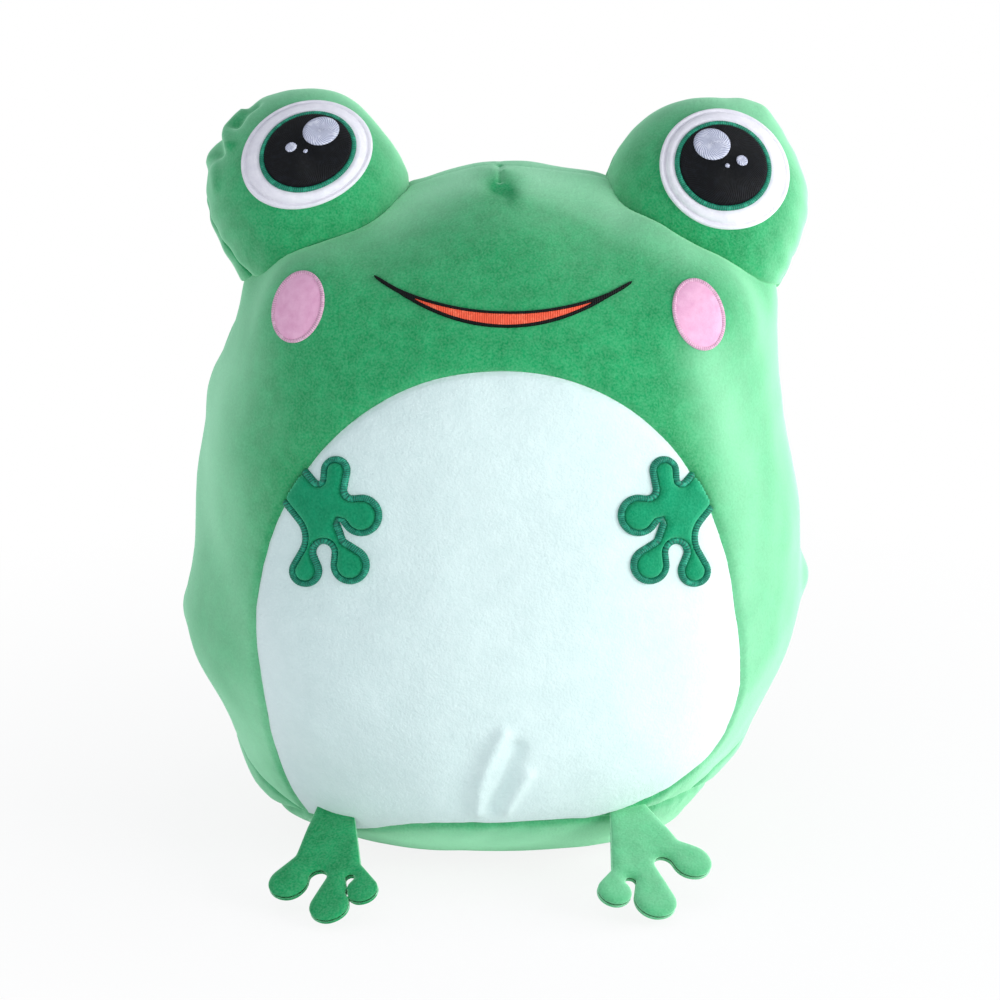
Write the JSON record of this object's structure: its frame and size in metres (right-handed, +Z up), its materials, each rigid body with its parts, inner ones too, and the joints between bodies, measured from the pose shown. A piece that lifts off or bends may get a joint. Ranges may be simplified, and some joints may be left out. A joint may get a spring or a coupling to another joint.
{
  "type": "plush frog",
  "caption": "Round stuffed frog that sits on its base, with raised eye mounds, a pale tummy, sewn-on hands and two padded feet that fold at the base seam.",
  "frame": {"origin": "middle of the flat patch under the body, on the surface that the frog sits on", "axes": "+Z up, -Y the way the frog faces, +X to the right of a viewer in front of it"},
  "size_m": [0.224, 0.1913, 0.2698],
  "materials": {
    "velour_green": "short-pile polyester velour, grass green",
    "velour_mint": "short-pile polyester velour, pale mint",
    "felt_white": "pressed felt, white",
    "felt_pink": "pressed felt, pink",
    "thread_teal": "satin-stitched rayon thread, teal",
    "thread_black": "satin-stitched rayon thread, black",
    "thread_white": "satin-stitched rayon thread, white",
    "thread_red": "satin-stitched rayon thread, red",
    "thread_pink": "satin-stitched rayon thread, pink",
    "polyester_fibre": "loose polyester filling"
  },
  "bodies": {
    "frog": {"back_panel_left": "velour_green", "back_panel_right": "velour_green", "base_panel": "velour_green", "body_filling": "polyester_fibre", "cheek_border_left": "thread_pink", "cheek_border_right": "thread_pink", "cheek_left": "felt_pink", "cheek_right": "felt_pink", "eye_glint_large_left": "thread_white", "eye_glint_large_right": "thread_white", "eye_glint_small_left": "thread_white", "eye_glint_small_right": "thread_white", "eye_glint_tiny_left": "thread_white", "eye_glint_tiny_right": "thread_white", "eye_mound_back_left": "velour_green", "eye_mound_back_right": "velour_green", "eye_mound_filling_left": "polyester_fibre", "eye_mound_filling_right": "polyester_fibre", "eye_mound_front_left": "velour_green", "eye_mound_front_right": "velour_green", "eye_pupil_left": "thread_black", "eye_pupil_right": "thread_black", "eye_ring_left": "thread_teal", "eye_ring_right": "thread_teal", "eye_white_left": "felt_white", "eye_white_right": "felt_white", "front_panel": "velour_green", "hand_border_left": "thread_teal", "hand_border_right": "thread_teal", "hand_left": "velour_green", "hand_right": "velour_green", "mouth_filling": "thread_red", "mouth_line": "thread_black", "tummy_panel": "velour_mint"},
    "foot_left": {"foot_upper_left": "velour_green", "foot_sole_left": "velour_green", "foot_wadding_left": "polyester_fibre"},
    "foot_right": {"foot_upper_right": "velour_green", "foot_sole_right": "velour_green", "foot_wadding_right": "polyester_fibre"}
  },
  "joints": [
    {"name": "foot_left_fold", "type": "hinge", "parent": "frog", "child": "foot_left", "pos_m": [-0.05502, -0.06543, 0.02802], "axis": [-0.886, 0.4637, 0], "range_deg": [-3, 80]},
    {"name": "foot_right_fold", "type": "hinge", "parent": "frog", "child": "foot_right", "pos_m": [0.04215, -0.06588, 0.02808], "axis": [-0.886, -0.4637, 0], "range_deg": [-3, 80]}
  ]
}
